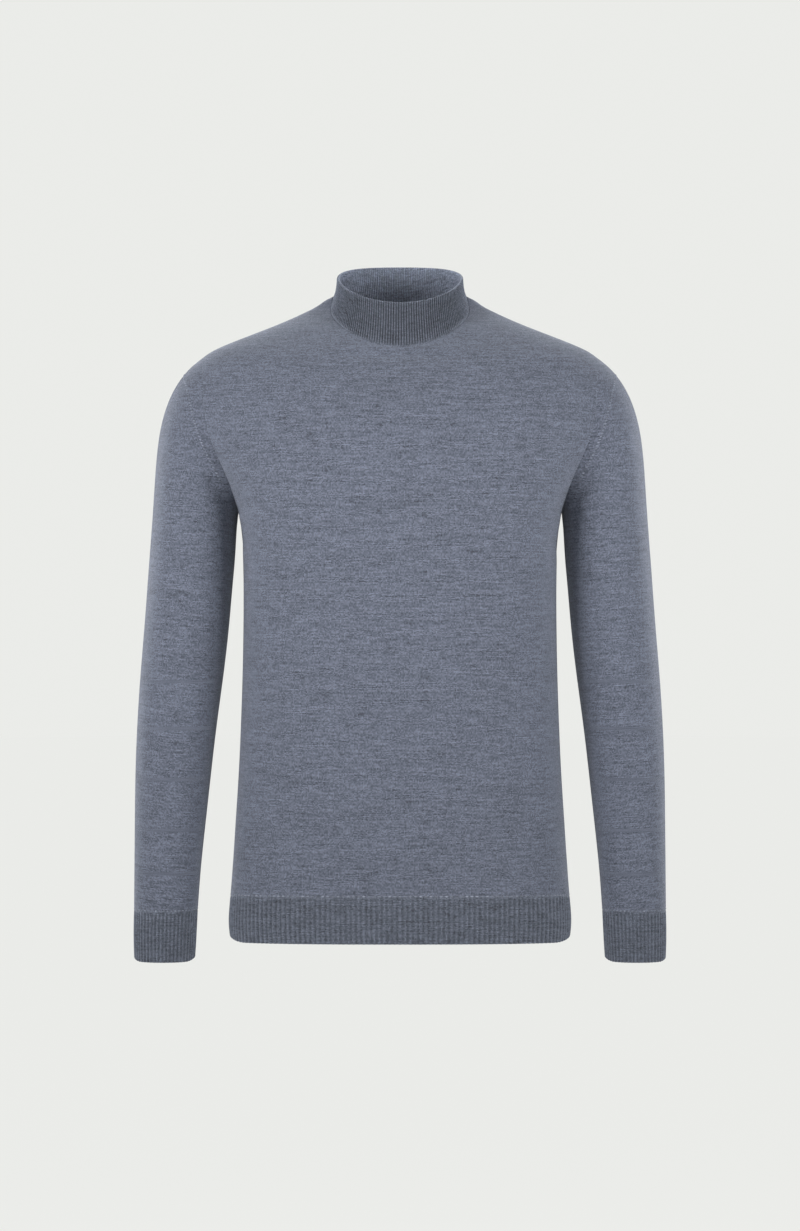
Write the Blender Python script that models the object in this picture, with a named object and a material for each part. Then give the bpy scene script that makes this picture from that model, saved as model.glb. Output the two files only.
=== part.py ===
"""Turtleneck sweater in fine jersey with a low standing rib collar, hollow, in its worn form.

Metres, +Z up. The front faces -Y, and left and right are the wearer's, so left is +X.
The origin is inside the neck, level with the shoulder line beside the collar.

The trunk is a stack of level sections. Half a section, seen from above, is a superellipse
from the centre line to the side, one in front of the ridge line and one behind it. The
panels are cut from that form along the side seams, the armholes, the shoulder seams and the
neckline, and each sleeve is a fan of rings that turns from the armhole down to the cuff.
"""
import math
from collections import namedtuple

import bmesh
import bpy
import numpy as np

# Driving dimensions
JERSEY_WALL = 0.0015
RIB_WALL = 0.0022
COLLAR_WALL = 0.0026
SEAM_GAP = 0.0003

HEM_BOTTOM = -0.676         # lower edge of the hem rib, at the sides
HEM_SEAM = -0.627           # where the hem rib meets the jersey, at the sides
HEM_LIFT = 0.006            # the hem hangs this much higher at the centre than at the sides
HEM_LIFT_FADES = -0.480     # height at which that lift has died out
UNDERARM = -0.224           # lowest point of the armhole
SHOULDER_TIP = -0.062       # highest point of the armhole

ARMHOLE_FRONT = 0.055       # how far the armhole reaches forward of the ridge line
ARMHOLE_BACK = 0.058
ARMHOLE_ROUNDNESS = 2.2

NECK_HALF_WIDTH = 0.073     # the neckline is an oval in plan, dropped on to the shoulders
NECK_HALF_DEPTH = 0.067
NECK_CENTRE_Y = 0.001
NECK_SEAM_TURN = 115        # degrees from the centre front to the shoulder seam

RIM_HALF_WIDTH = 0.0665     # the collar's upper edge, tilted down to the front
RIM_HALF_DEPTH = 0.060
RIM_CENTRE_Y = -0.003
RIM_HEIGHT = 0.0185
RIM_TILT = 0.025
RIM_SADDLE = 0.0035
COLLAR_FLARE = 1.8          # how strongly the collar spreads close to its seam

# Facets
HALF_COLUMNS = 12           # from the centre line to the side of a panel
NECK_COLUMNS = 6            # of those, the ones that end on the neckline
BODY_ROWS = 10              # from the hem seam to the underarm
ARMHOLE_ROWS = 10           # from the underarm to the shoulder tip
YOKE_ROWS = 5               # from the shoulder tip to the neckline and shoulder seam
RIB_ROWS = 2
COLLAR_ROWS = 4

# Working accuracy
ROW_SAMPLES = 240           # points that a row's length is measured through
BISECTIONS = 40             # halvings in the search for a height on the shoulders
MERGE_DISTANCE = 1e-6
KEY_DECIMALS = 6            # points that agree to this many decimals are one point
FOLD_AGREEMENT = 0.6       # normals that agree less than this belong to a fold
MITRE_LIMIT = 0.5

FRONT = -1
BACK = 1

Section = namedtuple("Section", "z front back ridge roundness")
SECTIONS = (
    Section(z=-0.680, front=0.088, back=0.090, ridge=0.000, roundness=2.50),
    Section(z=-0.640, front=0.090, back=0.093, ridge=0.000, roundness=2.50),
    Section(z=-0.590, front=0.094, back=0.097, ridge=0.000, roundness=2.50),
    Section(z=-0.530, front=0.098, back=0.098, ridge=0.000, roundness=2.45),
    Section(z=-0.450, front=0.102, back=0.092, ridge=0.000, roundness=2.40),
    Section(z=-0.370, front=0.105, back=0.090, ridge=0.000, roundness=2.45),
    Section(z=-0.300, front=0.111, back=0.098, ridge=0.000, roundness=2.60),
    Section(z=-0.233, front=0.118, back=0.108, ridge=0.001, roundness=2.85),
    Section(z=-0.190, front=0.119, back=0.113, ridge=0.002, roundness=2.75),
    Section(z=-0.150, front=0.115, back=0.115, ridge=0.004, roundness=2.45),
    Section(z=-0.120, front=0.107, back=0.112, ridge=0.006, roundness=2.25),
    Section(z=-0.090, front=0.092, back=0.106, ridge=0.008, roundness=2.20),
    Section(z=-0.062, front=0.071, back=0.097, ridge=0.010, roundness=2.15),
    Section(z=-0.045, front=0.054, back=0.090, ridge=0.012, roundness=2.10),
    Section(z=-0.030, front=0.037, back=0.083, ridge=0.014, roundness=2.10),
    Section(z=-0.012, front=0.008, back=0.073, ridge=0.016, roundness=2.10),
    Section(z=0.000, front=-0.009, back=0.065, ridge=0.018, roundness=2.10),
    Section(z=0.010, front=-0.016, back=0.054, ridge=0.019, roundness=2.10),
)

Edge = namedtuple("Edge", "z x")
SIDE_SEAM = (
    Edge(z=-0.680, x=0.1783),
    Edge(z=-0.662, x=0.1800),
    Edge(z=-0.627, x=0.1782),
    Edge(z=-0.549, x=0.1727),
    Edge(z=-0.498, x=0.1695),
    Edge(z=-0.447, x=0.1672),
    Edge(z=-0.397, x=0.1655),
    Edge(z=-0.346, x=0.1645),
    Edge(z=-0.296, x=0.1643),
    Edge(z=-0.258, x=0.1657),
    Edge(z=-0.224, x=0.1697),
)
ARMHOLE = (
    Edge(z=-0.224, x=0.1697),
    Edge(z=-0.201, x=0.1755),
    Edge(z=-0.181, x=0.1834),
    Edge(z=-0.155, x=0.1944),
    Edge(z=-0.126, x=0.2019),
    Edge(z=-0.095, x=0.2046),
    Edge(z=-0.062, x=0.2085),
)
SHOULDER_LINE = (
    Edge(z=-0.062, x=0.2085),
    Edge(z=-0.0555, x=0.1995),
    Edge(z=-0.0495, x=0.1875),
    Edge(z=-0.0416, x=0.1685),
    Edge(z=-0.0341, x=0.1495),
    Edge(z=-0.0265, x=0.1306),
    Edge(z=-0.0181, x=0.1116),
    Edge(z=-0.0120, x=0.0990),
    Edge(z=-0.0049, x=0.0863),
    Edge(z=0.0010, x=0.0780),
    Edge(z=0.0050, x=0.0700),
    Edge(z=0.0120, x=0.0590),
)

# One row for each ring of the left sleeve. The ring spans from its outer point to its inner
# one, and keep says how much of the armhole's curve it still has.
Ring = namedtuple("Ring", "outer_x outer_z inner_x inner_z front back mid_y keep")
SLEEVE_RINGS = (
    Ring(0.2085, -0.0620, 0.1697, -0.2240, front=0.055, back=0.058, mid_y=0.006, keep=1.0),
    Ring(0.2190, -0.0705, 0.1706, -0.2262, front=0.057, back=0.060, mid_y=0.006, keep=0.85),
    Ring(0.2290, -0.0816, 0.1710, -0.2285, front=0.059, back=0.062, mid_y=0.006, keep=0.65),
    Ring(0.2380, -0.0955, 0.1713, -0.2310, front=0.060, back=0.063, mid_y=0.006, keep=0.45),
    Ring(0.2455, -0.1125, 0.1716, -0.2340, front=0.061, back=0.064, mid_y=0.006, keep=0.28),
    Ring(0.2510, -0.1320, 0.1720, -0.2380, front=0.062, back=0.064, mid_y=0.005, keep=0.15),
    Ring(0.2552, -0.1580, 0.1725, -0.2440, front=0.062, back=0.064, mid_y=0.005, keep=0.06),
    Ring(0.2578, -0.1900, 0.1731, -0.2550, front=0.062, back=0.063, mid_y=0.004, keep=0.0),
    Ring(0.2602, -0.2280, 0.1742, -0.2740, front=0.060, back=0.061, mid_y=0.003, keep=0.0),
    Ring(0.2638, -0.2770, 0.1767, -0.3030, front=0.058, back=0.059, mid_y=0.002, keep=0.0),
    Ring(0.2684, -0.3400, 0.1806, -0.3480, front=0.055, back=0.056, mid_y=0.001, keep=0.0),
    Ring(0.2732, -0.4000, 0.1866, -0.4000, front=0.052, back=0.053, mid_y=0.000, keep=0.0),
    Ring(0.2763, -0.4520, 0.1934, -0.4520, front=0.048, back=0.049, mid_y=-0.002, keep=0.0),
    Ring(0.2778, -0.5050, 0.1993, -0.5050, front=0.044, back=0.045, mid_y=-0.006, keep=0.0),
    Ring(0.2780, -0.5550, 0.2045, -0.5550, front=0.040, back=0.040, mid_y=-0.011, keep=0.0),
    Ring(0.2780, -0.6000, 0.2088, -0.6000, front=0.035, back=0.035, mid_y=-0.016, keep=0.0),
    Ring(0.2780, -0.6400, 0.2115, -0.6400, front=0.0305, back=0.0305, mid_y=-0.020, keep=0.0),
)
CUFF_RINGS = (
    SLEEVE_RINGS[-1],
    Ring(0.2783, -0.6660, 0.2126, -0.6660, front=0.0290, back=0.0290, mid_y=-0.022, keep=0.0),
    Ring(0.2775, -0.6930, 0.2140, -0.6930, front=0.0275, back=0.0275, mid_y=-0.024, keep=0.0),
)

JERSEY_BLUE_GREY = (0.168, 0.185, 0.232, 1.0)
RIB_BLUE_GREY = (0.128, 0.142, 0.181, 1.0)
KNIT_ROUGHNESS = 0.9


class Curve:
    """A cubic spline through one column of a table, held at its end values outside the table."""

    def __init__(self, rows, column):
        self.at = np.array([row.z for row in rows])
        self.value = np.array([getattr(row, column) for row in rows])
        step = np.diff(self.at)
        slope = np.diff(self.value) / step
        count = len(rows)
        system, target = np.eye(count), np.zeros(count)
        for i in range(1, count - 1):
            system[i, i - 1:i + 2] = step[i - 1], 2 * (step[i - 1] + step[i]), step[i]
            target[i] = 6 * (slope[i] - slope[i - 1])
        self.bend = np.linalg.solve(system, target)

    def __call__(self, z):
        z = min(max(z, self.at[0]), self.at[-1])
        i = min(int(np.searchsorted(self.at, z, side="right")) - 1, len(self.at) - 2)
        step = self.at[i + 1] - self.at[i]
        t = (z - self.at[i]) / step
        bend = (t ** 3 - t) * self.bend[i + 1] + ((1 - t) ** 3 - (1 - t)) * self.bend[i]
        return (1 - t) * self.value[i] + t * self.value[i + 1] + bend * step ** 2 / 6


def power(value, exponent):
    """A power that keeps the sign."""
    return math.copysign(abs(value) ** exponent, value)


section_front = Curve(SECTIONS, "front")
section_back = Curve(SECTIONS, "back")
section_ridge = Curve(SECTIONS, "ridge")
section_roundness = Curve(SECTIONS, "roundness")
side_x = Curve(SIDE_SEAM, "x")
armhole_x = Curve(ARMHOLE, "x")
shoulder_x = Curve(SHOULDER_LINE, "x")


def section_depth(z, facing):
    """How far the section reaches from the ridge line, to the front or to the back."""
    if facing == FRONT:
        return section_front(z) + section_ridge(z)
    return section_back(z) - section_ridge(z)


def armhole_depth(z, facing):
    """How far the armhole's edge is from the ridge line at height z."""
    middle = (UNDERARM + SHOULDER_TIP) / 2
    reach = (SHOULDER_TIP - UNDERARM) / 2
    share = min(abs(z - middle) / reach, 1.0)
    across = (1 - share ** ARMHOLE_ROUNDNESS) ** (1 / ARMHOLE_ROUNDNESS)
    return across * (ARMHOLE_FRONT if facing == FRONT else ARMHOLE_BACK)


def edge_x(z):
    """Half width of the panels at height z: side seam, armhole or shoulder line."""
    if z <= UNDERARM:
        return side_x(z)
    if z <= SHOULDER_TIP:
        return armhole_x(z)
    return shoulder_x(z)


def half_width(z, facing):
    """Half width of the whole section, which runs on past an armhole into the sleeve."""
    if not UNDERARM < z < SHOULDER_TIP:
        return edge_x(z)
    n = section_roundness(z)
    share = armhole_depth(z, facing) / section_depth(z, facing)
    return edge_x(z) / (1 - share ** n) ** (1 / n)


def trunk_point(turn, z, facing):
    """A point of the trunk. Turn 0 is the centre line, and a quarter turn is the side."""
    n = section_roundness(z)
    share = abs(math.cos(turn)) ** (2 / n)
    x = half_width(z, facing) * power(math.sin(turn), 2 / n)
    y = section_ridge(z) + facing * section_depth(z, facing) * share
    fade = min(max((HEM_LIFT_FADES - z) / (HEM_LIFT_FADES - HEM_SEAM), 0.0), 1.0)
    return np.array([x, y, z + HEM_LIFT * share * fade])


def trunk_row(z, facing):
    """A level row of the panel, from the right side to the left, evenly spaced."""
    n = section_roundness(z)
    last_turn = math.asin(min(edge_x(z) / half_width(z, facing), 1.0) ** (n / 2))
    turns = np.linspace(0, last_turn, ROW_SAMPLES)
    points = np.array([trunk_point(turn, z, facing) for turn in turns])
    length = np.append(0, np.cumsum(np.linalg.norm(np.diff(points, axis=0), axis=1)))
    even = np.interp(np.linspace(0, length[-1], HALF_COLUMNS + 1), length, turns)
    half = np.array([trunk_point(turn, z, facing) for turn in even])
    return mirrored_row(half)


def mirrored_row(half):
    """A whole row from its left half, which starts on the centre line."""
    return np.concatenate([half[:0:-1] * (-1, 1, 1), half])


def height_on_shoulders(x, y):
    """Height of the yoke over a point of the plan."""
    low, high = SHOULDER_TIP, SHOULDER_LINE[-1].z
    for _ in range(BISECTIONS):
        z = (low + high) / 2
        ridge = section_ridge(z)
        facing = FRONT if y < ridge else BACK
        n = section_roundness(z)
        reach = (abs(x) / shoulder_x(z)) ** n + (abs(y - ridge) / section_depth(z, facing)) ** n
        if reach > 1:
            high = z
        else:
            low = z
    return low


def neckline_point(turn):
    """A point of the neckline. Turn 0 is the centre front, and half a turn the centre back."""
    x = NECK_HALF_WIDTH * math.sin(turn)
    y = NECK_CENTRE_Y - NECK_HALF_DEPTH * math.cos(turn)
    return np.array([x, y, height_on_shoulders(x, y)])


def neck_turns(facing):
    """Turns of the points on a panel's half of the neckline, from the centre to the seam."""
    centre_turn = 0 if facing == FRONT else math.pi
    return np.linspace(centre_turn, math.radians(NECK_SEAM_TURN), NECK_COLUMNS + 1)


def yoke_edge(facing):
    """The left half of a panel's upper edge: neckline, then shoulder seam out to the tip."""
    neck = [neckline_point(turn) for turn in neck_turns(facing)]
    tip = trunk_point(math.pi / 2, SHOULDER_TIP, facing)
    seam = []
    for share in np.linspace(0, 1, HALF_COLUMNS - NECK_COLUMNS + 1)[1:-1]:
        x, y = (neck[-1] + (tip - neck[-1]) * share)[:2]
        seam.append(np.array([x, y, height_on_shoulders(x, y)]))
    return np.array(neck + seam + [tip])


def armhole_levels():
    """Heights of the rows beside the armhole, evenly turned round its edge, lowest first."""
    middle = (UNDERARM + SHOULDER_TIP) / 2
    reach = (SHOULDER_TIP - UNDERARM) / 2
    turns = np.linspace(math.pi, 0, ARMHOLE_ROWS + 1)
    return [middle + reach * power(math.cos(turn), 2 / ARMHOLE_ROUNDNESS) for turn in turns]


def panel_grid(facing):
    """Outside of the front or the back, row by row from the hem seam to the neckline."""
    levels = list(np.linspace(HEM_SEAM, UNDERARM, BODY_ROWS + 1)[:-1]) + armhole_levels()
    rows = [trunk_row(z, facing) for z in levels]
    lower, upper = rows[-1], mirrored_row(yoke_edge(facing))
    for share in np.linspace(0, 1, YOKE_ROWS + 1)[1:-1]:
        row = lower + (upper - lower) * share
        for point in row[1:-1]:
            point[2] = height_on_shoulders(point[0], point[1])
        rows.append(row)
    return np.array(rows + [upper])


def hem_grid(facing):
    """Outside of the hem rib, from its lower edge to the hem seam."""
    return np.array([trunk_row(z, facing) for z in np.linspace(HEM_BOTTOM, HEM_SEAM, RIB_ROWS + 1)])


def ring_points(ring):
    """A ring of the left sleeve, from its outer point by the front and the inner point."""
    points = []
    for turn in np.linspace(0, 2 * math.pi, 2 * ARMHOLE_ROWS + 1)[:-1]:
        along = power(math.cos(turn), 2 / ARMHOLE_ROUNDNESS)
        across = power(math.sin(turn), 2 / ARMHOLE_ROUNDNESS)
        x = (ring.outer_x + ring.inner_x) / 2 + (ring.outer_x - ring.inner_x) / 2 * along
        z = (ring.outer_z + ring.inner_z) / 2 + (ring.outer_z - ring.inner_z) / 2 * along
        armhole_z = (SHOULDER_TIP + UNDERARM) / 2 + (SHOULDER_TIP - UNDERARM) / 2 * along
        chord = (SLEEVE_RINGS[0].outer_x + SLEEVE_RINGS[0].inner_x) / 2
        chord += (SLEEVE_RINGS[0].outer_x - SLEEVE_RINGS[0].inner_x) / 2 * along
        x += ring.keep * (armhole_x(armhole_z) - chord)
        middle = ring.keep * section_ridge(armhole_z) + (1 - ring.keep) * ring.mid_y
        y = middle - across * (ring.front if across > 0 else ring.back)
        points.append((x, y, z))
    return points


def sleeve_grid(rings):
    """Outside of a left sleeve or cuff, from the armhole end down."""
    return np.array([ring_points(ring) for ring in rings])


def collar_grid():
    """Outside of the collar, from the neckline's own points up to its rim."""
    left = np.concatenate([neck_turns(FRONT), neck_turns(BACK)[-2::-1]])
    turns = np.concatenate([left, 2 * math.pi - left[-2:0:-1]])
    rows = []
    for share in np.linspace(0, 1, COLLAR_ROWS + 1):
        row = []
        for turn in turns:
            seam = neckline_point(turn)
            rim = np.array([
                RIM_HALF_WIDTH * math.sin(turn),
                RIM_CENTRE_Y - RIM_HALF_DEPTH * math.cos(turn),
                RIM_HEIGHT - RIM_TILT * math.cos(turn) - RIM_SADDLE * math.cos(2 * turn),
            ])
            point = seam + (rim - seam) * (1 - (1 - share) ** COLLAR_FLARE)
            point[2] = seam[2] + (rim[2] - seam[2]) * share
            row.append(point)
        rows.append(row)
    return np.array(rows)


def grid_faces(grid, closed):
    """Corner indices of a grid's quads. The rows of a closed grid run round a tube."""
    rows, columns = grid.shape[:2]
    faces = []
    for i in range(rows - 1):
        near, far = i * columns, (i + 1) * columns
        for j in range(columns if closed else columns - 1):
            k = (j + 1) % columns
            faces.append((near + j, near + k, far + k, far + j))
    return faces


def face_normals(grid, closed):
    """Sum of the face normals at each point of a grid."""
    points = grid.reshape(-1, 3)
    normals = np.zeros_like(points)
    for face in grid_faces(grid, closed):
        a, b, c, d = points[list(face)]
        normals[list(face)] += np.cross(c - a, d - b)
    return normals


def unit(vectors):
    return vectors / np.linalg.norm(vectors, axis=-1, keepdims=True)


class Piece:
    """One knitted piece: a grid of outside points, closed round a tube or not."""

    def __init__(self, name, grid, closed, wall, colour):
        self.name, self.grid, self.closed = name, grid, closed
        self.wall, self.colour = wall, colour
        self.normals = face_normals(grid, closed)

    def keys(self):
        return [tuple(np.round(point, KEY_DECIMALS)) for point in self.grid.reshape(-1, 3)]


def share_seam_normals(pieces):
    """Give the points that pieces share along a seam one normal, unless the seam is a fold."""
    total = {}
    for piece in pieces:
        own = {}
        for key, normal in zip(piece.keys(), piece.normals):
            own[key] = own.get(key, 0) + normal
        for key, normal in own.items():
            total[key] = total.get(key, 0) + unit(normal)
        piece.normals = unit(np.array([own[key] for key in piece.keys()]))
    for piece in pieces:
        shared = unit(np.array([total[key] for key in piece.keys()]))
        agree = (shared * piece.normals).sum(axis=1)
        mitred = shared / np.maximum(agree, MITRE_LIMIT)[:, None]
        piece.normals = np.where(agree[:, None] > FOLD_AGREEMENT, mitred, piece.normals)


def open_seams(piece):
    """Pull a piece's edges back by half the gap that the seams leave."""
    grid = piece.grid
    edges = [(grid[0], grid[1]), (grid[-1], grid[-2])]
    if not piece.closed:
        edges += [(grid[:, 0], grid[:, 1]), (grid[:, -1], grid[:, -2])]
    for edge, inside in edges:
        way = inside - edge
        length = np.linalg.norm(way, axis=-1, keepdims=True)
        edge += way / np.maximum(length, MERGE_DISTANCE) * SEAM_GAP / 2


def knit_material(name, colour):
    material = bpy.data.materials.new(name)
    material.use_nodes = True
    shader = material.node_tree.nodes["Principled BSDF"]
    shader.inputs["Base Color"].default_value = colour
    shader.inputs["Roughness"].default_value = KNIT_ROUGHNESS
    shader.inputs["Metallic"].default_value = 0.0
    return material


def add_wall(piece):
    """Make the piece's object: outside, inside and the edges between them."""
    outside = piece.grid.reshape(-1, 3)
    inside = outside - piece.normals * piece.wall
    count = len(outside)
    skin = grid_faces(piece.grid, piece.closed)
    used = {}
    for face in skin:
        for a, b in zip(face, face[1:] + face[:1]):
            used[(a, b)] = (b, a) not in used
            if not used[(a, b)]:
                del used[(a, b)], used[(b, a)]
    mesh = bmesh.new()
    verts = [mesh.verts.new(point) for point in np.concatenate([outside, inside])]
    for face in skin:
        mesh.faces.new([verts[i] for i in face])
        mesh.faces.new([verts[i + count] for i in reversed(face)])
    for a, b in used:
        mesh.faces.new([verts[b], verts[a], verts[a + count], verts[b + count]])
    bmesh.ops.remove_doubles(mesh, verts=mesh.verts, dist=MERGE_DISTANCE)
    bmesh.ops.triangulate(mesh, faces=mesh.faces)
    data = bpy.data.meshes.new(piece.name)
    mesh.to_mesh(data)
    mesh.free()
    data.shade_smooth()
    data.materials.append(knit_material(piece.name + "_knit", piece.colour))
    thing = bpy.data.objects.new(piece.name, data)
    bpy.context.scene.collection.objects.link(thing)


def main():
    for old in list(bpy.data.objects):
        bpy.data.objects.remove(old, do_unlink=True)
    pieces = []
    for facing, side in ((FRONT, "front"), (BACK, "back")):
        panel = panel_grid(facing)[:, ::-facing]
        rib = hem_grid(facing)[:, ::-facing]
        pieces.append(Piece(side, panel, False, JERSEY_WALL, JERSEY_BLUE_GREY))
        pieces.append(Piece("hem_rib_" + side, rib, False, RIB_WALL, RIB_BLUE_GREY))
    for name, rings, wall, colour in (
        ("sleeve", SLEEVE_RINGS, JERSEY_WALL, JERSEY_BLUE_GREY),
        ("cuff", CUFF_RINGS, RIB_WALL, RIB_BLUE_GREY),
    ):
        left = sleeve_grid(rings)
        right = left[:, ::-1] * (-1, 1, 1)
        pieces.append(Piece(name + "_left", left, True, wall, colour))
        pieces.append(Piece(name + "_right", right, True, wall, colour))
    pieces.append(Piece("collar", collar_grid(), True, COLLAR_WALL, RIB_BLUE_GREY))
    share_seam_normals(pieces)
    for piece in pieces:
        open_seams(piece)
        add_wall(piece)


main()
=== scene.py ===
"""Turtleneck sweater in melange jersey with a low standing rib collar, hollow, in its worn form.

Metres, +Z up. The front faces -Y, and left and right are the wearer's, so left is +X. Each
piece is a thin knitted wall on the form of its solid: a grid of points for the face, and the
same grid moved in by the wall for the reverse.
"""
import math
from collections import namedtuple

import bmesh
import bpy
import numpy as np
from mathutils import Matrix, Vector


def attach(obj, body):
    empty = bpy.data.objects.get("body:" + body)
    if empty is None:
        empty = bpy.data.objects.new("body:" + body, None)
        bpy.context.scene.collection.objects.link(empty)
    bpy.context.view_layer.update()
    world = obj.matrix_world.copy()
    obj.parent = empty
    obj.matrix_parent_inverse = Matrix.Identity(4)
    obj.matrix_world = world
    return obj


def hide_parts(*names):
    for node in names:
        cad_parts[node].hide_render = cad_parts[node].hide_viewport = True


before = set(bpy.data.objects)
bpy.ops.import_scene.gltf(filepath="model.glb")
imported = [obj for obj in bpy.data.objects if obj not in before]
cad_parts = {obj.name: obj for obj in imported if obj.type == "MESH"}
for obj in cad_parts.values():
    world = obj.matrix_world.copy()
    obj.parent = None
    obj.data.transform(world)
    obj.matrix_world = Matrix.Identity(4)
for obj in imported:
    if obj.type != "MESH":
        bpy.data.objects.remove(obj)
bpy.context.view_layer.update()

bl_info = {
    "name": "Turtleneck Sweater",
    "version": (1, 0, 0),
    "blender": (4, 5, 0),
    "location": "3D View > Sidebar > Sweater",
    "description": "Knits a turtleneck sweater piece by piece on its packed frame",
    "category": "Add Mesh",
}

FRONT = -1
BACK = 1

# The form. The solids have it too, without the ease at the armholes and the rounded corners.
HEM_BOTTOM = -0.676
HEM_SEAM = -0.627
HEM_LIFT = 0.006            # the hem hangs this much higher at the centre than at the sides
HEM_LIFT_FADES = -0.480
UNDERARM = -0.224
SHOULDER_TIP = -0.062
ARMHOLE_FRONT = 0.055
ARMHOLE_BACK = 0.058
ARMHOLE_ROUNDNESS = 2.2
ARMHOLE_MIDDLE = (UNDERARM + SHOULDER_TIP) / 2
ARMHOLE_REACH = (SHOULDER_TIP - UNDERARM) / 2
ARMHOLE_EASE = 0.006        # how far the knit stands out at the armhole seam's middle
ARMHOLE_EASE_REACH = 0.013
HEM_CORNER = 0.018          # how far in from its sides the hem's lower edge starts to rise
CUFF_CORNER = 0.008
CORNER_FULLNESS = 0.93      # short of 1, so that the edge passes its sides without a point
NECK_HALF_WIDTH = 0.073
NECK_HALF_DEPTH = 0.067
NECK_CENTRE_Y = 0.001
NECK_SEAM_TURN = math.radians(115)
RIM_HALF_WIDTH = 0.0665
RIM_HALF_DEPTH = 0.060
RIM_CENTRE_Y = -0.003
RIM_HEIGHT = 0.0185
RIM_TILT = 0.025
RIM_SADDLE = 0.0035
COLLAR_FLARE = 1.8


def rows_of(kind, *rows):
    """A table of named rows."""
    return tuple(kind(*row) for row in rows)


Section = namedtuple("Section", "z front back ridge roundness")
SECTIONS = rows_of(
    Section,
    (-0.680, 0.088, 0.090, 0.000, 2.50),
    (-0.640, 0.090, 0.093, 0.000, 2.50),
    (-0.590, 0.094, 0.097, 0.000, 2.50),
    (-0.530, 0.098, 0.098, 0.000, 2.45),
    (-0.450, 0.102, 0.092, 0.000, 2.40),
    (-0.370, 0.105, 0.090, 0.000, 2.45),
    (-0.300, 0.111, 0.098, 0.000, 2.60),
    (-0.233, 0.118, 0.108, 0.001, 2.85),
    (-0.190, 0.119, 0.113, 0.002, 2.75),
    (-0.150, 0.115, 0.115, 0.004, 2.45),
    (-0.120, 0.107, 0.112, 0.006, 2.25),
    (-0.090, 0.092, 0.106, 0.008, 2.20),
    (-0.062, 0.071, 0.097, 0.010, 2.15),
    (-0.045, 0.054, 0.090, 0.012, 2.10),
    (-0.030, 0.037, 0.083, 0.014, 2.10),
    (-0.012, 0.008, 0.073, 0.016, 2.10),
    (0.000, -0.009, 0.065, 0.018, 2.10),
    (0.010, -0.016, 0.054, 0.019, 2.10),
)
Edge = namedtuple("Edge", "z x")
SIDE_SEAM = rows_of(
    Edge,
    (-0.680, 0.1783),
    (-0.662, 0.1800),
    (-0.627, 0.1782),
    (-0.549, 0.1727),
    (-0.498, 0.1695),
    (-0.447, 0.1672),
    (-0.397, 0.1655),
    (-0.346, 0.1645),
    (-0.296, 0.1643),
    (-0.258, 0.1657),
    (-0.224, 0.1697),
)
ARMHOLE = rows_of(
    Edge,
    (-0.224, 0.1697),
    (-0.201, 0.1755),
    (-0.181, 0.1834),
    (-0.155, 0.1944),
    (-0.126, 0.2019),
    (-0.095, 0.2046),
    (-0.062, 0.2085),
)
SHOULDER_LINE = rows_of(
    Edge,
    (-0.062, 0.2085),
    (-0.0555, 0.1995),
    (-0.0495, 0.1875),
    (-0.0416, 0.1685),
    (-0.0341, 0.1495),
    (-0.0265, 0.1306),
    (-0.0181, 0.1116),
    (-0.0120, 0.0990),
    (-0.0049, 0.0863),
    (0.0010, 0.0780),
    (0.0050, 0.0700),
    (0.0120, 0.0590),
)
Ring = namedtuple("Ring", "outer_x outer_z inner_x inner_z front back mid_y keep", defaults=[0.0])
SLEEVE_RINGS = rows_of(
    Ring,
    (0.2085, -0.0620, 0.1697, -0.2240, 0.055, 0.058, 0.006, 1.0),
    (0.2190, -0.0705, 0.1706, -0.2262, 0.057, 0.060, 0.006, 0.85),
    (0.2290, -0.0816, 0.1710, -0.2285, 0.059, 0.062, 0.006, 0.65),
    (0.2380, -0.0955, 0.1713, -0.2310, 0.060, 0.063, 0.006, 0.45),
    (0.2455, -0.1125, 0.1716, -0.2340, 0.061, 0.064, 0.006, 0.28),
    (0.2510, -0.1320, 0.1720, -0.2380, 0.062, 0.064, 0.005, 0.15),
    (0.2552, -0.1580, 0.1725, -0.2440, 0.062, 0.064, 0.005, 0.06),
    (0.2578, -0.1900, 0.1731, -0.2550, 0.062, 0.063, 0.004),
    (0.2602, -0.2280, 0.1742, -0.2740, 0.060, 0.061, 0.003),
    (0.2638, -0.2770, 0.1767, -0.3030, 0.058, 0.059, 0.002),
    (0.2684, -0.3400, 0.1806, -0.3480, 0.055, 0.056, 0.001),
    (0.2732, -0.4000, 0.1866, -0.4000, 0.052, 0.053, 0.000),
    (0.2763, -0.4520, 0.1934, -0.4520, 0.048, 0.049, -0.002),
    (0.2778, -0.5050, 0.1993, -0.5050, 0.044, 0.045, -0.006),
    (0.2780, -0.5550, 0.2045, -0.5550, 0.040, 0.040, -0.011),
    (0.2780, -0.6000, 0.2088, -0.6000, 0.035, 0.035, -0.016),
    (0.2780, -0.6400, 0.2115, -0.6400, 0.0305, 0.0305, -0.020),
)
CUFF_RINGS = rows_of(
    Ring,
    SLEEVE_RINGS[-1],
    (0.2783, -0.6660, 0.2126, -0.6660, 0.0290, 0.0290, -0.022),
    (0.2775, -0.6930, 0.2140, -0.6930, 0.0275, 0.0275, -0.024),
)

SLEEVE_WAY = np.array([-0.0706, 0.0, 0.9975])      # up the hanging sleeve

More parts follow.
